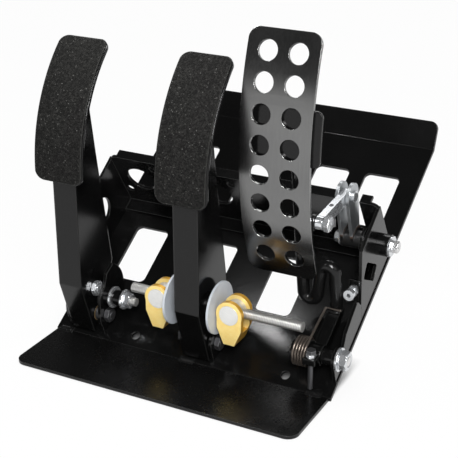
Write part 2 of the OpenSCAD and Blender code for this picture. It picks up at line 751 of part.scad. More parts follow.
// Throttle hinge and its spring
module hinge_bolt()
    color(steel) at(hinge_at) {
        rod_x(spring_x[0] - 3, bracket_half + 10, hinge_r);
        rod_x(spring_x[0] - 7, spring_x[0] - 3, 8);
    }
module hinge_washer() color(zinc) at(hinge_at) ring_x(bracket_half, bracket_half + 2, 11, hinge_r);
module hinge_nut() color(zinc) at(hinge_at) nut_x(bracket_half + 2, bracket_half + 10, 16, hinge_r);
module hinge_spacers()
    color(black) at(hinge_at) {
        ring_x(spring_x[0] - 3, lever_x[0] - 0.5, spring_r - spring_wire_r - 0.5, hinge_r);
        ring_x(lever_x[1] + 0.5, side_plate_x, 7.5, hinge_r);
    }

// Spring wire: a leg to the ramp, the coils, and a leg that hooks in front of the bent bar
function coil_point(turn) = [
    towards(spring_x[0], spring_x[1], turn / spring_turns),
    hinge_at[0] + spring_r * sin(360 * turn + 180),
    hinge_at[1] + spring_r * cos(360 * turn + 180),
];
function spring_foot() = let (p = ramp_point(ramp_s([hinge_at[0], hinge_at[1]]) + 16, spring_wire_r))
    [spring_x[0], p[0], p[1]];
function spring_hook() = let (p = rod_plane + [-rod_r - spring_wire_r - 0.2, 1.5])
    [for (x = [spring_x[1] + 1, rod_right_x + rod_r + 2]) [x, p[0], p[1]]];
turn_parts = 16;
last_part = 7;
coil_steps = turn_parts * spring_turns + last_part;
spring_path = concat([spring_foot()], [for (i = [0:coil_steps]) coil_point(i / turn_parts)], spring_hook());
module throttle_spring() color(steel) swept(spring_path, spring_wire_r, 8);

// Crank: a fork on a pivot tube, pushed by the link from the throttle plate
module crank_lug() {
    c = [ramp_s(crank_at), ramp_h(crank_at)];
    color(black) on_ramp() difference() {
        along_x(crank_lug_x, crank_lug_x + sheet) {
            polygon([[c[0] - 27, sheet], [c[0] - 13, sheet], c + [9, -3], c + [-9, 5]]);
            polygon([[c[0] - 29, 0], [bracket_s - foot_len, 0], [bracket_s - foot_len, sheet], [c[0] - 27, sheet]]);
            translate(c) circle(tube_r + 3.5);
        }
        at(c) rod_x(crank_lug_x - 1, crank_lug_x + sheet + 1, tube_r);
    }
}
module crank_tube() color(black) at(crank_at) ring_x(tube_x[0], tube_x[1], tube_r, crank_bolt_r);
module crank_bolt()
    color(steel) at(crank_at) {
        rod_x(crank_hub_x[0] - nut_t - 2.4, tube_x[1] + 2, crank_bolt_r);
        hex_x(tube_x[1] + 2, tube_x[1] + 8, hex_m6);
    }
module crank_washers()
    color(zinc) at(crank_at) {
        ring_x(tube_x[1], tube_x[1] + 2, tube_r - 1, crank_bolt_r);
        ring_x(crank_hub_x[0] - 1.8, crank_hub_x[0] - 0.3, 8, crank_bolt_r);
    }
module crank_nut()
    color(zinc) at(crank_at)
        nut_x(crank_hub_x[0] - 1.8 - nut_t, crank_hub_x[0] - 1.8, hex_m6, crank_bolt_r);
module crank() {
    color(zinc) difference() {
        union() {
            at(crank_at) rod_x(crank_hub_x[0], crank_hub_x[1], hub_r);
            for (x = fork_x) bar_x(x, x + fork_t, crank_at, fork_pin_at, hub_r, fork_eye_r);
        }
        at(crank_at) rod_x(crank_hub_x[0] - 1, crank_hub_x[1] + 1, crank_bolt_r + running);
        at(fork_pin_at) rod_x(fork_x[0] - 1, fork_x[1] + fork_t + 1, fork_pin_r);
    }
}
module fork_pin()
    color(zinc) at(fork_pin_at) {
        rod_x(fork_x[0] - 1.5, fork_x[1] + fork_t, fork_pin_r);
        rod_x(fork_x[1] + fork_t, fork_x[1] + fork_t + 2.5, 5.2);
    }
link_bolt_at = towards(link_pin_at, fork_pin_at, 0.4);
link_middle_x = (link_x[0] + link_x[1]) / 2;
module throttle_link() {
    color(zinc) difference() {
        bar_x(link_x[0], link_x[1], link_pin_at, fork_pin_at, link_half, link_half);
        at(fork_pin_at) rod_x(link_x[0] - 1, link_x[1] + 1, fork_pin_r + running);
        at(link_pin_at) rod_x(link_x[0] - 1, link_x[1] + 1, link_pin_r + link_eye_play);
        translate([link_middle_x, link_bolt_at[0], link_bolt_at[1] - 10]) cylinder(h = 20, r = 2);
    }
}
module link_bolt() {
    low = link_bolt_at[1] - 14;
    color(zinc) translate([link_middle_x, link_bolt_at[0], 0]) {
        translate([0, 0, low]) cylinder(h = link_bolt_at[1] + 6 - low, r = 2);
        translate([0, 0, low]) cylinder(h = 7, d = 8 / cos(30), $fn = 6);
    }
}

// Cable anchor: a tab on the side wall with a level, hollow, threaded adjuster
adjuster_x = bracket_half - sheet - 5.6;
adjuster_z = 77.5;
adjuster_r = 3;
adjuster_len = 24;
adjuster_bore_r = 1.8;
adjuster_nut_t = 3.5;
adjuster_flats = 9.4;
tab_y = fold_y + 69.5;
tab_size = [10.6, 20];
module along_y(y) {
    translate([adjuster_x, y, adjuster_z]) rotate([-90, 0, 0]) children();
}
module cable_tab() {
    color(black) difference() {
        translate([bracket_half - sheet - tab_size[0], tab_y, adjuster_z - tab_size[1] / 2])
            cube([tab_size[0], sheet, tab_size[1]]);
        along_y(tab_y - 1) cylinder(h = 3 * sheet, r = adjuster_r);
    }
}
module cable_adjuster() {
    front = tab_y - adjuster_len / 2;
    color(zinc) difference() {
        union() {
            along_y(front) cylinder(h = adjuster_len, r = adjuster_r);
            along_y(front - 1) cylinder(h = 5, r = 5.2);
            for (y = [tab_y - adjuster_nut_t, tab_y + sheet])
                along_y(y) cylinder(h = adjuster_nut_t, d = adjuster_flats / cos(30), $fn = 6);
        }
        along_y(front - 5) cylinder(h = adjuster_len + 10, r = adjuster_bore_r);
    }
}

heel_plate();
ramp_plate();
stitch_welds();
cylinder_bracket();
throttle_side_plate();
clutch_left_cheek();
clutch_right_cheek();
brake_left_cheek();
brake_right_cheek();
clutch_pivot_bolt();
clutch_pivot_spacer();
clutch_pivot_nut();
brake_pivot_bolt();
brake_pivot_nut();
side_stud();
stud_sleeves();
stud_washers();
stud_nut();
clutch_arm();
clutch_pad_plate();
clutch_grip();
clutch_bush();
push_rod_bolt();
push_rod_nut();
brake_arm();
brake_pad_plate();
brake_grip();
brake_bush();
bias_tube();
bias_bar();
bias_bearing();
side_washers();
left_trunnion();
left_clevis();
right_trunnion();
right_clevis();
throttle_plate();
throttle_back_plate();
throttle_bar();
throttle_lever();
link_tab();
link_pin();
idle_screw();
idle_nut();
hinge_bolt();
hinge_washer();
hinge_nut();
hinge_spacers();
throttle_spring();
crank_lug();
crank_tube();
crank_bolt();
crank_washers();
crank_nut();
crank();
fork_pin();
throttle_link();
link_bolt();
cable_tab();
cable_adjuster();
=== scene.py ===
import math

import bmesh
import bpy
from mathutils import Matrix, Vector


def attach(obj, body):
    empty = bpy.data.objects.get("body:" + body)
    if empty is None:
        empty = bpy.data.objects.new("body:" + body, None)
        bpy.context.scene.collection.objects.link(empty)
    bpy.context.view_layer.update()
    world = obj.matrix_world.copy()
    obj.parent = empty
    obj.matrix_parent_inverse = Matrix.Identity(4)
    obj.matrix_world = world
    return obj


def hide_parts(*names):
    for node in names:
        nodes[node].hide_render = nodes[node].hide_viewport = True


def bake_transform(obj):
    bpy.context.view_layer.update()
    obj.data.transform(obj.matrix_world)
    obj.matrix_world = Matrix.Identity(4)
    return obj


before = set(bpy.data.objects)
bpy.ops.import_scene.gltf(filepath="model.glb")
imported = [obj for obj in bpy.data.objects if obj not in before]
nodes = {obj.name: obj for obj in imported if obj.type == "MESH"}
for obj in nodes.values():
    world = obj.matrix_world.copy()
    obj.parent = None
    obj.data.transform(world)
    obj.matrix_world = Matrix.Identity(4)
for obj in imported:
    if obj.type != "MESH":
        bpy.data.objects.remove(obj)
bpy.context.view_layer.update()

# %% [markdown]
# The pedal box is a car's clutch, brake and throttle pedals on one folded steel base. The solids already
# hold its sizes, so this lesson adds what solids can't: paint, plating, grit, welds, threads and light.
# Blender works in metres and the drawing in millimetres, so one small helper turns the one into the
# other.

# %% Millimetres to metres
MM = 0.001


def mm(x, y, z):
    return Vector((x, y, z)) * MM


bpy.context.scene.view_settings.view_transform = "Standard"
print("one millimetre is", MM, "of Blender's units")

# %% [markdown]
# Finishes are written as sums. They could be wired node by node, but a long sum is easier to read as one
# line. A `Wire` is an output socket that Python's operators work on, so `1 - mask` or `grain * 0.2 + 0.3`
# adds the Math nodes by itself.


# %% A socket that can be used in sums
class Wire:
    def __init__(self, finish, socket):
        self.finish = finish
        self.socket = socket

    def maths(self, operation, first, second):
        return self.finish.node("ShaderNodeMath", {"operation": operation}, {0: first, 1: second})

    def __add__(self, other):
        return self.maths("ADD", self, other)

    def __sub__(self, other):
        return self.maths("SUBTRACT", self, other)

    def __rsub__(self, other):
        return self.maths("SUBTRACT", other, self)

    def __mul__(self, other):
        return self.maths("MULTIPLY", self, other)

    def __truediv__(self, other):
        return self.maths("DIVIDE", self, other)

    def __rtruediv__(self, other):
        return self.maths("DIVIDE", other, self)

    def __pow__(self, other):
        return self.maths("POWER", self, other)

    def __rpow__(self, other):
        return self.maths("POWER", other, self)

    __radd__ = __add__
    __rmul__ = __mul__


print("helper ready:", Wire.__name__)

# %% [markdown]
# Every other node comes from `Finish.node`: its type, its settings, and then the values or wires of its
# sockets. The methods below it are the few recipes that most finishes share, such as noise, a mix of two
# colours, rings round an axis, or edges that are rounded for the light alone.


# %% A material that grows node by node
class Finish:
    def __init__(self, name, holder=None):
        self.holder = holder or bpy.data.materials.new(name)
        self.holder.use_nodes = True
        self.tree = self.holder.node_tree
        self.tree.nodes.clear()

    def node(self, kind, settings=None, sockets=None, out=0):
        made = self.tree.nodes.new(kind)
        for key, value in (settings or {}).items():
            if key == "stops":
                self.set_stops(made.color_ramp, value)
            else:
                setattr(made, key, value)
        for key, value in (sockets or {}).items():
            if isinstance(value, Wire):
                self.tree.links.new(value.socket, made.inputs[key])
            else:
                made.inputs[key].default_value = value
        if isinstance(out, tuple):
            return [Wire(self, made.outputs[name]) for name in out]
        return Wire(self, made.outputs[out]) if len(made.outputs) else made

    def set_stops(self, ramp, stops):
        while len(ramp.elements) < len(stops):
            ramp.elements.new(0.5)
        for element, (place, colour) in zip(ramp.elements, stops):
            element.position = place
            element.color = colour

    def place(self):
        return self.node("ShaderNodeTexCoord", out="Object")

    def noise(self, where, scale, detail=2.0, rough=0.5):
        sockets = {"Vector": where, "Scale": scale, "Detail": detail, "Roughness": rough}
        return self.node("ShaderNodeTexNoise", None, sockets, "Fac")

    def between(self, low, high, mask):
        settings = {"data_type": "RGBA", "clamp_factor": True}
        return self.node("ShaderNodeMix", settings, {0: mask, 6: low, 7: high}, 2)

    def clamp(self, value):
        return self.node("ShaderNodeClamp", None, {"Value": value})

    def stretch(self, where, x, y, z):
        return self.node("ShaderNodeVectorMath", {"operation": "MULTIPLY"}, {0: where, 1: (x, y, z)})

    def split(self, where):
        return self.node("ShaderNodeSeparateXYZ", None, {"Vector": where}, ("X", "Y", "Z"))

    def distance(self, first, second):
        return (first ** 2.0 + second ** 2.0) ** 0.5

    def rings(self, along, pitch):
        return self.node("ShaderNodeMath", {"operation": "SINE"}, {0: along * (2 * math.pi / pitch)})

    def seen(self):
        paths = ("Is Camera Ray", "Is Glossy Ray", "Is Transmission Ray")
        straight, mirrored, through = self.node("ShaderNodeLightPath", out=paths)
        return self.clamp(straight + mirrored + through)

    def round_edges(self, radius):
        soft = self.node("ShaderNodeBevel", {"samples": 6}, {"Radius": radius}, "Normal")
        true = self.node("ShaderNodeNewGeometry", out="Normal")
        same = self.node("ShaderNodeVectorMath", {"operation": "DOT_PRODUCT"}, {0: soft, 1: true}, "Value")
        return soft, self.clamp((1 - same) * 4)

    def bump(self, height, strength, distance, normal):
        sockets = {"Strength": strength, "Distance": distance, "Height": height, "Normal": normal}
        return self.node("ShaderNodeBump", None, sockets, "Normal")

    def surface(self, sockets):
        shader = self.node("ShaderNodeBsdfPrincipled", None, sockets, "BSDF")
        self.node("ShaderNodeOutputMaterial", None, {"Surface": shader})
        return self.holder


def grey(value):
    return (value, value, value, 1)


print("helper ready:", Finish.__name__)

# %% [markdown]
# The base, arms and brackets are folded sheet with a black powder coat. It could be one black colour, but
# then it would look like a cut-out. A real coat is a little cloudy, has a fine orange-peel skin that
# breaks up reflections, holds dust, and is thinner and paler along the edges; the paler edges are also a
# painted highlight, the thin light lines that rounded folds catch. The noise scales are in cells per
# metre.


# %% Black powder coat
def powder_coat(name, tone, roughness, edge_wear_highlight_tone, edge_radius):
    clouds, peel_cells, dust_cells = 16.0, 520.0, 1400.0
    paint = Finish(name)
    where = paint.place()
    cloud = paint.noise(where, clouds, 4.0)
    peel = paint.noise(where, peel_cells, 2.0)
    dust = paint.clamp((paint.noise(where, dust_cells, 1.0) - 0.74) * 8)
    soft, edge = paint.round_edges(edge_radius)
    # paler edges: partly real wear of a thinner coat, partly a painted highlight along the folds
    worn_and_highlit = paint.clamp(edge * (cloud * 0.8 + 0.3))
    thin = (tone * 1.3, tone * 1.3, tone * 1.28, 1)
    thick = (tone * 0.75, tone * 0.76, tone * 0.78, 1)
    coat = paint.between(thick, thin, cloud)
    dusty = paint.between(coat, (0.05, 0.049, 0.046, 1), dust * 0.35)
    colour = paint.between(dusty, (edge_wear_highlight_tone, edge_wear_highlight_tone, edge_wear_highlight_tone * 0.98, 1), worn_and_highlit)
    return paint.surface({
        "Base Color": colour,
        "Roughness": cloud * 0.08 + peel * 0.06 + dust * 0.2 + (roughness - 0.07),
        "Specular IOR Level": 0.30,
        "Normal": paint.bump(peel, 0.18, 0.25 * MM, soft),
    })


base_coat = powder_coat("base_coat", 0.0030, 0.18, 0.08, 0.7 * MM)
heel_coat = powder_coat("heel_coat", 0.0034, 0.27, 0.08, 0.7 * MM)
arm_coat = powder_coat("arm_coat", 0.0028, 0.16, 0.020, 2.2 * MM)
rod_coat = powder_coat("rod_coat", 0.0050, 0.22, 0.04, 0.7 * MM)
weld_coat = powder_coat("weld_coat", 0.006, 0.13, 0.035, 0.2 * MM)
print("coats:", base_coat.name, heel_coat.name, arm_coat.name, rod_coat.name, weld_coat.name)

# %% [markdown]
# The throttle plate looks like aluminium with a black anodised skin. It is the one large sheet that
# shines grey where it faces the floor. Glossy paint could do that, but its mirror image is too weak, so
# this is a dark metal with faint rolling lines down its length.


# %% Black anodised plate
def black_anodised(name):
    skin = Finish(name)
    where = skin.place()
    lines = skin.noise(skin.stretch(where, 900.0, 900.0, 40.0), 1.0, 3.0)
    cloud = skin.noise(where, 24.0, 3.0)
    soft, edge = skin.round_edges(0.6 * MM)
    colour = skin.between((0.15, 0.15, 0.151, 1), (0.25, 0.25, 0.247, 1), cloud * 0.6 + lines * 0.4)
    bright = skin.between(colour, (0.46, 0.46, 0.455, 1), edge * 0.8)
    return skin.surface({
        "Base Color": bright,
        "Metallic": 1.0,
        "Roughness": cloud * 0.06 + lines * 0.08 + 0.15,
        "Normal": skin.bump(lines, 0.06, 0.1 * MM, soft),
    })


plate_skin = black_anodised("plate_skin")
print("plate:", plate_skin.name)

# %% [markdown]
# The pads wear a stuck-on grip of hard grit, like a coarse sandpaper: dark grains close together, a few
# of them painted pale as glints, and a paler rim along the cut edge, which is a painted highlight. Real
# grains could be scattered as meshes, but there are thousands of them, so a Voronoi cell is one grain.


# %% Grit of the pads
def grit_sheet(name):
    grains = 760.0
    grit = Finish(name)
    where = grit.place()
    cells = {"Vector": where, "Scale": grains, "Randomness": 1.0}
    grain = grit.node("ShaderNodeTexVoronoi", {"feature": "F1"}, cells, "Distance")
    tint = grit.node("ShaderNodeTexVoronoi", {"feature": "F1"}, cells, "Color")
    pick = grit.node("ShaderNodeSeparateColor", None, {"Color": tint}, "Red")
    patch = grit.noise(where, 60.0, 4.0, 0.65)
    clump = grit.noise(where, 420.0, 3.0, 0.7)
    # painted glints: a few grains painted pale where they would catch the light
    painted_glint = grit.clamp((pick - 0.93) * 12) * grit.clamp(1 - grain * 2.2)
    soft, rim = grit.round_edges(2.2 * MM)
    speck = grit.clamp(pick * 0.55 + clump * 0.35 + patch * 0.25 - 0.08) ** 2.2
    dark = grit.between((0.0028, 0.0028, 0.0026, 1), (0.027, 0.0265, 0.0249, 1), speck)
    light = grit.between(dark, (0.17, 0.17, 0.16, 1), painted_glint)
    # painted highlight: a paler rim along the pad's edges
    colour = grit.between(light, (0.055, 0.055, 0.052, 1), rim * 0.6)
    return grit.surface({
        "Base Color": colour,
        "Roughness": 0.92 - painted_glint * 0.5,
        "Specular IOR Level": 0.16,
        "Normal": grit.bump((1 - grain) * 0.6 + clump * 0.4, 0.55, 0.5 * MM, soft),
    })


grip_finish = grit_sheet("grip_finish")
print("grip:", grip_finish.name)

# %% [markdown]
# Nuts, pins and the throttle's link are zinc plated: a pale, slightly blue metal with a soft cloudy
# shine. One even grey would look like plastic. The plating is tumbled, so its roughness varies from spot
# to spot and the edges are polished bright. A thread is a sine wave along the bolt: too fine to be worth
# modelling, so it is a bump, and its grooves are darkened as painted shade.


# %% Zinc plating and bare steel
def plated(name, low, high, roughness, thread=None):
    metal = Finish(name)
    where = metal.place()
    cloud = metal.noise(where, 70.0, 4.0, 0.6)
    fine = metal.noise(where, 900.0, 3.0, 0.6)
    soft, edge = metal.round_edges(0.4 * MM)
    colour = metal.between(metal.between(low, high, cloud), (0.86, 0.87, 0.88, 1), edge * 0.5)
    relief, depth = fine, 0.03
    if thread:
        along, pitch = thread
        relief, depth = metal.rings(metal.split(where)["XYZ".index(along)], pitch), 0.45
        # painted shade: the thread's grooves are darkened
        painted_groove_shade = metal.clamp(relief * -0.5)
        colour = metal.between(colour, (low[0] * 0.35, low[1] * 0.35, low[2] * 0.36, 1), painted_groove_shade)
    return metal.surface({
        "Base Color": colour,
        "Metallic": 0.8,
        "Roughness": cloud * 0.14 + fine * 0.05 + (roughness - 0.10),
        "Normal": metal.bump(relief, depth, 0.2 * MM, soft),
    })


BAR_THREAD = ("X", 1.59 * MM)
LINK_THREAD = ("Z", 0.8 * MM)
zinc = plated("zinc", (0.50, 0.52, 0.55, 1), (0.76, 0.77, 0.78, 1), 0.20)
bright_steel = plated("bright_steel", (0.54, 0.54, 0.55, 1), (0.76, 0.75, 0.74, 1), 0.25)
dark_steel = plated("dark_steel", (0.06, 0.06, 0.065, 1), (0.13, 0.13, 0.135, 1), 0.42)
threaded_x = plated("threaded_x", (0.46, 0.46, 0.45, 1), (0.70, 0.69, 0.66, 1), 0.36, BAR_THREAD)
threaded_z = plated("threaded_z", (0.16, 0.16, 0.165, 1), (0.34, 0.34, 0.345, 1), 0.30, LINK_THREAD)
spring_wire = plated("spring_wire", (0.06, 0.048, 0.04, 1), (0.24, 0.20, 0.17, 1), 0.30)
bronze = plated("bronze", (0.33, 0.20, 0.08, 1), (0.55, 0.37, 0.16, 1), 0.40)
print("metals:", zinc.name, bright_steel.name, dark_steel.name, spring_wire.name, bronze.name)

# %% [markdown]
# The throttle crank is a plated fork welded to a painted hub. It could be cut into three pieces, but it
# is one solid, so the distance from the hub's axis tells paint, weld and plating apart: a dark disc, a
# rusty brown ring where the heat burnt the zinc off, and bright metal beyond.


# %% Plated fork on a painted hub
def welded_fork(name, axis_y, axis_z):
    burnt_from, plated_from = 10.5 * MM, 12.0 * MM
    fork = Finish(name)
    where = fork.place()
    _, y, z = fork.split(where)
    far = fork.distance(y - axis_y, z - axis_z)
    cloud = fork.noise(where, 70.0, 4.0, 0.6)
    fine = fork.noise(where, 900.0, 3.0, 0.6)
    soft, edge = fork.round_edges(0.5 * MM)
    reach = far + (cloud - 0.5) * (6 * MM)
    plated_part = fork.clamp((reach - plated_from) / (2 * MM))
    burnt = fork.clamp((reach - burnt_from) / (1.5 * MM)) * (1 - plated_part)
    metal = fork.between((0.36, 0.38, 0.40, 1), (0.62, 0.64, 0.65, 1), cloud)
    bright = fork.between(metal, (0.84, 0.85, 0.86, 1), edge * 0.6)
    rust = fork.between(grey(0.006), (0.11, 0.065, 0.045, 1), burnt * (fine * 0.8 + 0.4))
    return fork.surface({
        "Base Color": fork.between(rust, bright, plated_part),
        "Metallic": plated_part * 0.95,
        "Roughness": cloud * 0.18 + fine * 0.10 + 0.24 + burnt * 0.25,
        "Normal": fork.bump(fine, 0.10, 0.2 * MM, soft),
    })


CRANK_Y, CRANK_Z = 143.979, 110.686
fork_metal = welded_fork("fork_metal", CRANK_Y * MM, CRANK_Z * MM)
print("crank:", fork_metal.name)

# %% [markdown]
# The two clevises on the balance bar are aluminium, turned and then anodised gold, and the steel
# trunnions in them are turned too. The tool leaves fine rings about the trunnion's own axis, which is
# level. The faces towards the driver are painted palest, as painted light from the front, and the other
# faces darker, as painted shade; the object's own normal picks them out. Their edges get a painted
# highlight colour.

# %% The balance bar's place
BAR_Y, BAR_Z = 44.25, 63.0
LEFT_PIN_X, RIGHT_PIN_X = -28.5, 46.5
print("trunnions at", LEFT_PIN_X, "and", RIGHT_PIN_X, "mm")


# %% Turned faces: gold clevises and steel trunnions
def turned_face(name, pin_x, side, deep, pale, shine, ring_depth, metal_share):
    ring_pitch = 1.3 * MM
    face = Finish(name)
    where = face.place()
    x, _, z = face.split(where)
    ring = face.rings(face.distance(x - pin_x * MM, z - BAR_Z * MM), ring_pitch)
    cloud = face.noise(where, 90.0, 4.0, 0.6)
    fine = face.noise(where, 1300.0, 2.0)
    soft, edge = face.round_edges(0.5 * MM)
    towards = face.split(face.node("ShaderNodeTexCoord", out="Normal"))[1]
    # painted light: faces towards the driver take the lit colours, the rest the darker side colour as
    # painted shade
    lit_front = face.clamp(towards * -2 - 0.6)
    streak = face.noise(face.stretch(where, 260.0, 260.0, 1400.0), 1.0, 3.0, 0.6)
    skimmed = face.between(deep, pale, cloud * 0.4 + streak * 0.6 + ring * ring_depth)
    skin = face.between(side, skimmed, lit_front)
    # the edges are painted in the shine colour, a painted highlight
    return face.surface({
        "Base Color": face.between(skin, shine, edge * 0.6),
        "Metallic": metal_share,
        "Roughness": cloud * 0.14 + fine * 0.08 + 0.22,
        "Normal": face.bump(ring * ring_depth * 2 + fine, 0.08, 0.1 * MM, soft),
    })


# side is the painted-shade colour of faces turned from the driver, shine the painted edge highlight
gold = {
    "side": (0.60, 0.32, 0.03, 1), "deep": (0.86, 0.54, 0.09, 1), "pale": (1.0, 0.86, 0.40, 1),
    "shine": (1.0, 0.93, 0.62, 1), "ring_depth": 0.16, "metal_share": 0.40,
}
steel = {
    "side": grey(0.45), "deep": (0.52, 0.52, 0.51, 1), "pale": (0.86, 0.86, 0.84, 1),
    "shine": (0.95, 0.95, 0.94, 1), "ring_depth": 0.30, "metal_share": 0.35,
}
left_gold = turned_face("left_gold", LEFT_PIN_X, **gold)
right_gold = turned_face("right_gold", RIGHT_PIN_X, **gold)
left_steel = turned_face("left_steel", LEFT_PIN_X, **steel)
right_steel = turned_face("right_steel", RIGHT_PIN_X, **steel)
print("turned:", left_gold.name, right_gold.name, left_steel.name, right_steel.name)

# %% [markdown]
# The big pale washers beside the brake arm look like natural nylon: milky, softly shiny, with faint rings
# and a little grey dirt near the bar. Subsurface light could make them milkier, but they are thin and lie
# against black, so a pale paint-like surface is enough.


# %% Nylon washers
def nylon(name, axis_y, axis_z, outer):
    ring_pitch = 1.1 * MM
    plastic = Finish(name)
    where = plastic.place()
    _, y, z = plastic.split(where)
    far = plastic.distance(y - axis_y, z - axis_z)
    ring = plastic.rings(far, ring_pitch)
    cloud = plastic.noise(where, 80.0, 4.0, 0.6)
    fine = plastic.noise(where, 900.0, 2.0)
    dirt = plastic.clamp(1 - far / (outer * 0.62)) * cloud
    soft, edge = plastic.round_edges(0.5 * MM)
    clean = plastic.between((0.37, 0.40, 0.44, 1), (0.52, 0.55, 0.585, 1), cloud)
    dirty = plastic.between(clean, (0.24, 0.24, 0.235, 1), dirt)
    return plastic.surface({
        "Base Color": plastic.between(dirty, (0.76, 0.77, 0.77, 1), edge * 0.5),
        "Roughness": cloud * 0.16 + 0.34,
        "Normal": plastic.bump(ring * 0.5 + fine, 0.07, 0.1 * MM, soft),
    })


WASHER_R = 25.0
washer_nylon = nylon("washer_nylon", BAR_Y * MM, BAR_Z * MM, WASHER_R * MM)
print("washers:", washer_nylon.name)

# %% [markdown]
# Now each solid gets the finish of its real piece. A material per solid would repeat itself. A list of
# names per finish is easy to check by eye, and what no list names is black sheet.

# %% Give every solid its finish
finishes = {
    arm_coat: ["clutch_arm", "brake_arm", "clutch_pad_plate", "brake_pad_plate", "bias_tube",
               "throttle_lever", "throttle_back_plate"],
    heel_coat: ["heel_plate"],
    plate_skin: ["throttle_plate"],
    grip_finish: ["clutch_grip", "brake_grip"],
    dark_steel: ["clutch_pivot_bolt", "clutch_pivot_nut", "clutch_pivot_spacer", "brake_pivot_bolt",
                 "brake_pivot_nut", "idle_screw"],
    threaded_x: ["bias_bar", "side_stud"],
    bright_steel: ["bias_bearing", "hinge_bolt", "crank_bolt"],
    threaded_z: ["link_bolt"],
    zinc: ["stud_washers", "stud_nut", "push_rod_bolt", "push_rod_nut", "link_pin", "idle_nut",
           "hinge_washer", "hinge_nut", "crank_washers", "crank_nut", "fork_pin", "throttle_link",
           "cable_adjuster"],
    left_steel: ["left_trunnion"],
    right_steel: ["right_trunnion"],
    fork_metal: ["crank"],
    bronze: ["clutch_bush", "brake_bush"],
    washer_nylon: ["side_washers"],
    left_gold: ["left_clevis"],
    right_gold: ["right_clevis"],
}
finish_of = {node: finish for finish, group in finishes.items() for node in group}
for node, solid in nodes.items():
    solid.data.materials.clear()
    solid.data.materials.append(finish_of.get(node, base_coat))
print("dressed:", len(nodes), "of them in the base coat:", len(nodes) - len(finish_of))

# %% [markdown]
# Some pieces are better as meshes of their own. Each starts as a list of corners and faces in the
# drawing's millimetres; `piece` turns that into an object, rounds its shading, lets it ride on its body
# and hides the solid that it stands for.


# %% Turn corners and faces into a piece
def piece(name, corners, faces, finish, body, stands_for, slot, sharp=38.0):
    mesh = bpy.data.meshes.new(name)
    mesh.from_pydata([Vector(c) * MM for c in corners], [], faces)
    work = bmesh.new()
    work.from_mesh(mesh)
    bmesh.ops.recalc_face_normals(work, faces=work.faces)
    work.to_mesh(mesh)
    work.free()
    mesh.polygons.foreach_set("use_smooth", [True] * len(mesh.polygons))
    mesh.set_sharp_from_angle(angle=math.radians(sharp))
    mesh.materials.append(finish)
    made = bpy.data.objects.new(name, mesh)
    bpy.context.scene.collection.objects.link(made)
    if body:
        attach(made, body)
    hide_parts(stands_for)
    print(name, "stands for", stands_for, "with", len(faces), "faces")
    return made


print("helper ready:", piece.__name__)

# %% [markdown]
# A bent bar and a coil spring are both a round wire along a path. A curve object could do it, but a mesh
# keeps the path's points where the solid has them. The ring at each point is turned as little as possible
# from the one before, so that the wire doesn't twist.


# %% Sweep a round wire along a path
def wire_mesh(path, radius, sides):
    path = [Vector(p) for p in path]
    count = len(path)
    along = [(path[min(i + 1, count - 1)] - path[max(i - 1, 0)]).normalized() for i in range(count)]
    side = along[0].orthogonal().normalized()
    corners = []
    for i, point in enumerate(path):
        side = (side - along[i] * side.dot(along[i])).normalized()
        other = along[i].cross(side)
        for k in range(sides):
            turn = 2 * math.pi * k / sides
            corners.append(point + radius * (math.cos(turn) * side + math.sin(turn) * other))
    faces = []
    for i in range(count - 1):
        for k in range(sides):
            after = (k + 1) % sides
            faces.append((i * sides + k, i * sides + after, (i + 1) * sides + after, (i + 1) * sides + k))
    faces.append(tuple(range(sides)))
    faces.append(tuple((count - 1) * sides + k for k in range(sides)))
    return corners, faces


print("helper ready:", wire_mesh.__name__)

# %% [markdown]
# The throttle's bar is one length of round steel: up from the lever, over, down, up again and then along
# the back of the plate. Its legs lie in a plane that leans towards the driver by 8.9 degrees, and its
# upper end follows the plate's own curve, so the place where leg and curve meet is worked out from a
# circle and a line.

# %% Places on the bent bar
ROD_R = 5.75
ROD_BEND = 7.0
LEVER_X, PLATE_LEG_X = 125.5, 93.0
LEVER_LEG = 18.0
BEND_STEPS, CURVE_STEPS = 20, 8
lean = math.radians(8.9)
rod_up = Vector((-math.sin(lean), math.cos(lean)))
rod_root = Vector((94.95, 62.0))
plate_centre = Vector((348.25, 207.0))
lie_r = 285.0 - ROD_R


def leg(x, up):
    p = rod_root + up * rod_up
    return (x, p.x, p.y)


def curve_point(a):
    return (PLATE_LEG_X, plate_centre.x - lie_r * math.cos(a), plate_centre.y + lie_r * math.sin(a))


print("bar", 2 * ROD_R, "mm thick")

# %% Bent throttle bar
high = Vector((118.5, 37.0))
low = Vector((100.0, 11.0))
gap = low - high
turn = math.atan2(gap.y, gap.x) + 2 * math.pi - math.acos(2 * ROD_BEND / gap.length)
steps = [turn * i / BEND_STEPS for i in range(BEND_STEPS + 1)]
rod_path = [leg(LEVER_X, 0.0), leg(LEVER_X, LEVER_LEG)]
rod_path += [leg(high.x + ROD_BEND * math.cos(a), high.y + ROD_BEND * math.sin(a)) for a in steps]
rod_path += [leg(low.x - ROD_BEND * math.cos(a), low.y - ROD_BEND * math.sin(a)) for a in reversed(steps)]
back = rod_root - plate_centre
reach = -back.dot(rod_up) + math.sqrt(back.dot(rod_up) ** 2 - back.dot(back) + lie_r ** 2)
first = math.asin((back + reach * rod_up).y / lie_r)
last = math.radians(9.0)
rod_path += [curve_point(first + (last - first) * i / CURVE_STEPS) for i in range(CURVE_STEPS + 1)]
piece("bent_bar", *wire_mesh(rod_path, ROD_R, 28), rod_coat, "throttle", "throttle_bar", "black_paint")

# %% [markdown]
# The return spring is a torsion coil round the hinge bolt. One leg stands on the ramp and the other hooks
# in front of the bar, so on the real pedal its far end turns with it. Here the coil is one rigid mesh on
# no body, fixed where it sits at rest, so it parts from the bar when the pedal moves.

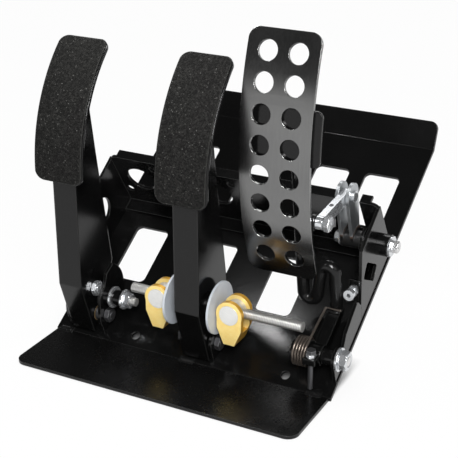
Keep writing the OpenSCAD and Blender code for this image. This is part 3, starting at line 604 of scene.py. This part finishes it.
# %% Throttle spring
HINGE_Y, HINGE_Z = 53.75, 34.0
COIL_R, WIRE_R = 13.0, 1.2
COIL_FROM, COIL_TO = 106.0, 117.0
TURNS, PER_TURN, LAST_STEPS = 4, 36, 16
coil_path = [(COIL_FROM, 75.84, 28.84)]
for i in range(TURNS * PER_TURN + LAST_STEPS):
    t = i / PER_TURN
    a = 2 * math.pi * t + math.pi
    x = COIL_FROM + (COIL_TO - COIL_FROM) * t / TURNS
    coil_path.append((x, HINGE_Y + COIL_R * math.sin(a), HINGE_Z + COIL_R * math.cos(a)))
coil_path += [(118.0, 87.8, 63.5), (133.25, 87.8, 63.5)]
coil = wire_mesh(coil_path, WIRE_R, 14)
spring = piece("return_spring", *coil, spring_wire, None, "throttle_spring", "spring_steel")
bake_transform(spring)

# %% [markdown]
# A nut is a hexagon whose corners are turned off by a cone at both faces. A six-sided cylinder would do
# from far off. Drawn as rings of points, from the bore out to the hexagon and back, the cone cuts the
# flats in the round arcs that every real nut shows.


# %% Shape of a chamfered nut
def nut_mesh(place, length, flats, bore):
    washer_face = flats / 2 * 0.95
    lead = 0.5
    corners = []
    count = 72
    for i in range(count):
        turn = 2 * math.pi * i / count
        wide = flats / 2 / math.cos((turn + math.pi / 6) % (math.pi / 3) - math.pi / 6)
        fall = (wide - washer_face) * math.tan(math.radians(30))
        profile = [(bore, lead), (bore + lead, 0), (washer_face, 0), (wide, fall), (wide, length - fall),
                   (washer_face, length), (bore + lead, length), (bore, length - lead)]
        corners += [place @ Vector((r * math.cos(turn), r * math.sin(turn), h)) for r, h in profile]
    rows = 8
    faces = []
    for i in range(count):
        for k in range(rows):
            a, b = i * rows, (i + 1) % count * rows
            faces.append((a + k, a + (k + 1) % rows, b + (k + 1) % rows, b + k))
    return corners, faces


def across(x, y, z):
    return Matrix.Translation((x, y, z)) @ Matrix.Rotation(math.radians(90), 4, "Y")


print("helpers ready:", nut_mesh.__name__, across.__name__)

# %% [markdown]
# Each nut is its width across the flats, its bore's radius and its height. The widths are the usual ones
# for their threads, so they are named by the thread.

# %% Chamfered nuts
M5, M6, M8, M10 = (8.0, 2.5), (10.0, 3.0), (13.0, 4.0), (16.0, 5.0)
PIVOT_Y, PIVOT_Z = 47.25, 25.0
SHARP_METAL = 20.0
nuts = [
    ("push_rod_nut", "clutch", across(-104.0, 42.25, 53.5), 5.4, M8, zinc, "zinc"),
    ("stud_nut", "base", across(-72.0, PIVOT_Y, 45.5), 7.0, M8, zinc, "zinc"),
    ("clutch_pivot_nut", "base", across(-94.0, PIVOT_Y, PIVOT_Z), 5.4, M8, dark_steel, "dark_steel"),
    ("brake_pivot_nut", "base", across(27.0, PIVOT_Y, PIVOT_Z), 5.4, M8, dark_steel, "dark_steel"),
    ("hinge_nut", "base", across(148.0, HINGE_Y, HINGE_Z), 8.0, M10, zinc, "zinc"),
    ("crank_nut", "base", across(102.6, CRANK_Y, CRANK_Z), 5.4, M6, zinc, "zinc"),
    ("idle_nut", "throttle", Matrix.Translation((LEVER_X, 39.25, 38.0)), 4.0, M5, zinc, "zinc"),
]
for name, body, place, length, size, finish, slot in nuts:
    shape = nut_mesh(place, length, *size)
    piece(name.replace("_nut", "_hex"), *shape, finish, body, name, slot, SHARP_METAL)

# %% [markdown]
# A bolt is a turned shank with a head. The shank is a profile of radius and height, revolved; its ends
# are chamfered so that they catch a line of light. A hexagon head is a nut with a very small hole, and
# the two are joined into one piece, because on the bolt they are one.


# %% Turned shanks
def turned_mesh(place, profile, count=40):
    corners, faces = [], []
    rows = len(profile)
    for i in range(count):
        turn = 2 * math.pi * i / count
        corners += [place @ Vector((r * math.cos(turn), r * math.sin(turn), h)) for r, h in profile]
    for i in range(count):
        a, b = i * rows, (i + 1) % count * rows
        faces += [(a + k, a + k + 1, b + k + 1, b + k) for k in range(rows - 1)]
    faces.append(tuple(i * rows for i in range(count)))
    faces.append(tuple(i * rows + rows - 1 for i in range(count)))
    return corners, faces


def joined(*meshes):
    corners, faces = [], []
    for more_corners, more_faces in meshes:
        faces += [tuple(len(corners) + k for k in face) for face in more_faces]
        corners += more_corners
    return corners, faces


print("helpers ready:", turned_mesh.__name__, joined.__name__)

# %% Bolts of the crank, the link and the hinge
LINK_PIN_Y, LINK_PIN_Z = 72.75, 153.0
LINK_HEAD = 13.0
crank_shank = turned_mesh(across(102.0, CRANK_Y, CRANK_Z), [(2.2, 0), (3, 0.8), (3, 57.2)])
crank_head = nut_mesh(across(159.0, CRANK_Y, CRANK_Z), 6.0, M6[0], 0.6)
crank_bolt = joined(crank_shank, crank_head)
piece("crank_hex_bolt", *crank_bolt, bright_steel, "base", "crank_bolt", "steel", SHARP_METAL)
pin_shank = turned_mesh(across(109.0, LINK_PIN_Y, LINK_PIN_Z), [(1.9, 0), (2.5, 0.6), (2.5, 12.2)])
pin_head = nut_mesh(across(121.0, LINK_PIN_Y, LINK_PIN_Z), 5.4, LINK_HEAD, 0.8)
link_pin = joined(pin_shank, pin_head)
piece("link_hex_pin", *link_pin, zinc, "throttle", "link_pin", "zinc", SHARP_METAL)
dome = [(0.4, 0), (2.6, 0.15), (4.8, 0.7), (6.6, 1.6), (7.7, 2.8), (8.0, 4.0),
        (5.0, 4.0), (5.0, 56.2), (4.2, 57.0)]
hinge_bolt = turned_mesh(across(99.0, HINGE_Y, HINGE_Z), dome)
piece("hinge_dome_bolt", *hinge_bolt, bright_steel, "base", "hinge_bolt", "steel")

# %% [markdown]
# Three short welds hold the heel plate to the ramp. A weld is a row of overlapping puddles, so its crown
# rises and falls every two millimetres or so and its ends fade out. A bump could hint at that, but its
# outline would stay straight, so the ripples are modelled. They are painted over, in a coat a little
# paler and glossier than the base's.

# %% Sizes of the welds
FOLD_Y, SHEET = 36.75, 3.0
RAMP_SLOPE = math.radians(32)
PUDDLE = 2.2
STATIONS, ACROSS = 57, 9
print("weld ripples every", PUDDLE, "mm")


# %% Rippled weld beads
def bead_points(middle, length, toe):
    start = Vector((FOLD_Y - toe, SHEET))
    end = Vector((FOLD_Y + toe * math.cos(RAMP_SLOPE), SHEET + toe * math.sin(RAMP_SLOPE)))
    corners = []
    for i in range(STATIONS):
        t = i / (STATIONS - 1)
        fade = max(0.02, 1 - abs(2 * t - 1) ** 6) ** 0.5
        ripple = (t * length / PUDDLE) % 1.0
        crown = (0.45 + 0.75 * math.sin(math.pi * ripple)) * fade
        for k in range(ACROSS):
            u = k / (ACROSS - 1)
            p = start.lerp(end, 0.5 + (u - 0.5) * (0.75 + 0.25 * fade))
            bend = 0.8 * math.sin(math.pi * u) * (ripple - 0.5)
            x = middle - length / 2 + t * length + bend * 0.4
            corners.append((x, p.x, p.y + crown * 4 * u * (1 - u)))
    return corners


def bead_mesh(middle, length, toe):
    faces = []
    for i in range(STATIONS - 1):
        for k in range(ACROSS - 1):
            a = i * ACROSS + k
            faces.append((a, a + 1, a + ACROSS + 1, a + ACROSS))
    for i in (0, STATIONS - 1):
        faces.append(tuple(i * ACROSS + k for k in range(ACROSS)))
    near = [i * ACROSS for i in range(STATIONS)]
    far = [i * ACROSS + ACROSS - 1 for i in reversed(range(STATIONS))]
    faces.append(tuple(near + far))
    return bead_points(middle, length, toe), faces


beads = joined(*[bead_mesh(middle, 16.0, 4.0) for middle in (-135.0, 0.0, 130.0)])
piece("weld_beads", *beads, weld_coat, "base", "stitch_welds", "black_paint", 60.0)

# %% [markdown]
# The box was photographed on white from the front right, a little from above. A camera can be placed by
# eye, but this one is fitted to the straight edges of the base, so its place has odd numbers and a slight
# roll.

# %% Camera
camera_data = bpy.data.cameras.new("camera")
camera_data.sensor_width = 36.0
camera_data.lens = 94.53
camera_data.clip_end = 50.0
camera = bpy.data.objects.new("camera", camera_data)
bpy.context.scene.collection.objects.link(camera)
eye = mm(495.41, -819.20, 563.07)
aim = mm(20.83, 83.25, 123.95)
roll = math.radians(-0.12)
camera.location = eye
look = (aim - eye).to_track_quat("-Z", "Y").to_matrix().to_4x4()
camera.rotation_euler = (look @ Matrix.Rotation(roll, 4, "Z")).to_euler()
bpy.context.scene.camera = camera
print("camera", round((aim - eye).length, 3), "m away")

# %% [markdown]
# The floor is a matt white sheet. Lit by lamps alone it would be grey, so what the camera and the
# reflections see of it is mostly its own plain white. Where the Ambient Occlusion node finds something
# close above, it is shaded: a little beside the box, which keeps its soft shadow, and fully under the low
# end of the ramp. There the matt sheet's own colour is also painted dark, as painted shade.

# %% Sizes of the floor
HALF_RAMP = 0.146
HALF_FLOOR = 4.0
SHADE_REACH = 45 * MM
MASK_EDGE = 200
FLOOR_DROP = 0.6
print("floor", 2 * HALF_FLOOR, "m wide")


# %% Floor
def pale_floor(name):
    sheet = Finish(name)
    where = sheet.place()
    x, y, _ = sheet.split(where)
    open_sky = sheet.node("ShaderNodeAmbientOcclusion", {"samples": 12}, {"Distance": SHADE_REACH}, "AO")
    sideways = sheet.node("ShaderNodeMath", {"operation": "ABSOLUTE"}, {0: x})
    under = sheet.clamp((HALF_RAMP - sideways) * MASK_EDGE) * sheet.clamp(y * MASK_EDGE)
    shade = open_sky ** (under * 2.7 + 0.3)
    shown = sheet.seen() * shade * 0.97
    pale = sheet.between(grey(0.79), grey(0.81), sheet.noise(where, 9.0, 3.0))
    # painted shade: under the low end of the ramp the matt floor's own colour is darkened
    tone = sheet.between(pale, grey(0.05), under * (1 - open_sky))
    dull = {"Base Color": tone, "Roughness": 1.0, "Specular IOR Level": 0.0}
    matt = sheet.node("ShaderNodeBsdfPrincipled", None, dull)
    white = sheet.node("ShaderNodeEmission", None, {"Color": grey(1), "Strength": 1.0})
    both = sheet.node("ShaderNodeMixShader", None, {0: shown, 1: matt, 2: white})
    sheet.node("ShaderNodeOutputMaterial", None, {"Surface": both})
    return sheet.holder


floor_mesh = bpy.data.meshes.new("floor")
rim = [(-1, -1), (1, -1), (1, 1), (-1, 1)]
floor_mesh.from_pydata([(x * HALF_FLOOR, y * HALF_FLOOR, 0) for x, y in rim], [], [(0, 1, 2, 3)])
floor_mesh.materials.append(pale_floor("floor_white"))
floor = bpy.data.objects.new("floor", floor_mesh)
floor.location.z = -FLOOR_DROP * MM
bpy.context.scene.collection.objects.link(floor)
print("floor lies", FLOOR_DROP, "mm below the box")

# %% [markdown]
# The room round the table is dim above and has a low white backdrop, as in a photographer's studio. An
# all-white room would turn black paint grey, and an all-black one would leave bright metal nothing to
# show. The camera and the reflections see the same backdrop, while matt surfaces are lit by the dim room.

# %% Room
room = Finish("room", bpy.context.scene.world or bpy.data.worlds.new("room"))
bpy.context.scene.world = room.holder
heading = room.node("ShaderNodeTexCoord", out="Generated")
height = room.split(heading)[2] * 0.5 + 0.5
dim_stops = [(0.45, grey(0.80)), (0.52, grey(0.05)), (0.72, grey(0.035)), (1.0, grey(0.06))]
white_stops = [(0.535, grey(1)), (0.578, grey(0.05))]
dim = room.node("ShaderNodeValToRGB", {"stops": dim_stops}, {"Fac": height}, "Color")
backdrop = room.node("ShaderNodeValToRGB", {"stops": white_stops}, {"Fac": height}, "Color")
tone = room.between(dim, backdrop, room.seen())
light = room.node("ShaderNodeBackground", None, {"Color": tone, "Strength": 1.0})
room.node("ShaderNodeOutputWorld", None, {"Surface": light})
print("world:", bpy.context.scene.world.name)

# %% [markdown]
# Five soft lamps light the box. One big lamp would be softer still, but its mirror image would lie over
# the ramp or the throttle plate, so the main ones stand to the right, out of what those two mirror to the
# camera. The small one close above makes the sheen on the right of the ramp.


# %% Lamps
def lamp(name, place, aim_at, width, tall, power):
    data = bpy.data.lights.new(name, "AREA")
    data.shape = "RECTANGLE"
    data.size = width
    data.size_y = tall
    data.energy = power
    made = bpy.data.objects.new(name, data)
    made.location = place
    made.rotation_euler = (Vector(aim_at) - Vector(place)).to_track_quat("-Z", "Y").to_euler()
    made.visible_camera = False
    bpy.context.scene.collection.objects.link(made)
    print(name, power, "W")


MIDDLE = (0.0, 0.1, 0.12)
SHEEN = (0.076, 0.064, 0.020)
lamp("key_box", (0.75, -1.05, 1.40), MIDDLE, 0.6, 0.5, 24.0)
lamp("front_box", (0.60, -1.05, 0.85), MIDDLE, 0.3, 0.3, 14.0)
lamp("side_box", (1.45, -0.55, 0.95), MIDDLE, 0.8, 0.8, 2.5)
lamp("rear_box", (-0.2, 1.5, 1.5), (0.0, 0.1, 0.15), 1.2, 0.6, 8.0)
lamp("top_box", (-0.112, 0.020, 0.482), SHEEN, 0.065, 0.065, 0.55)
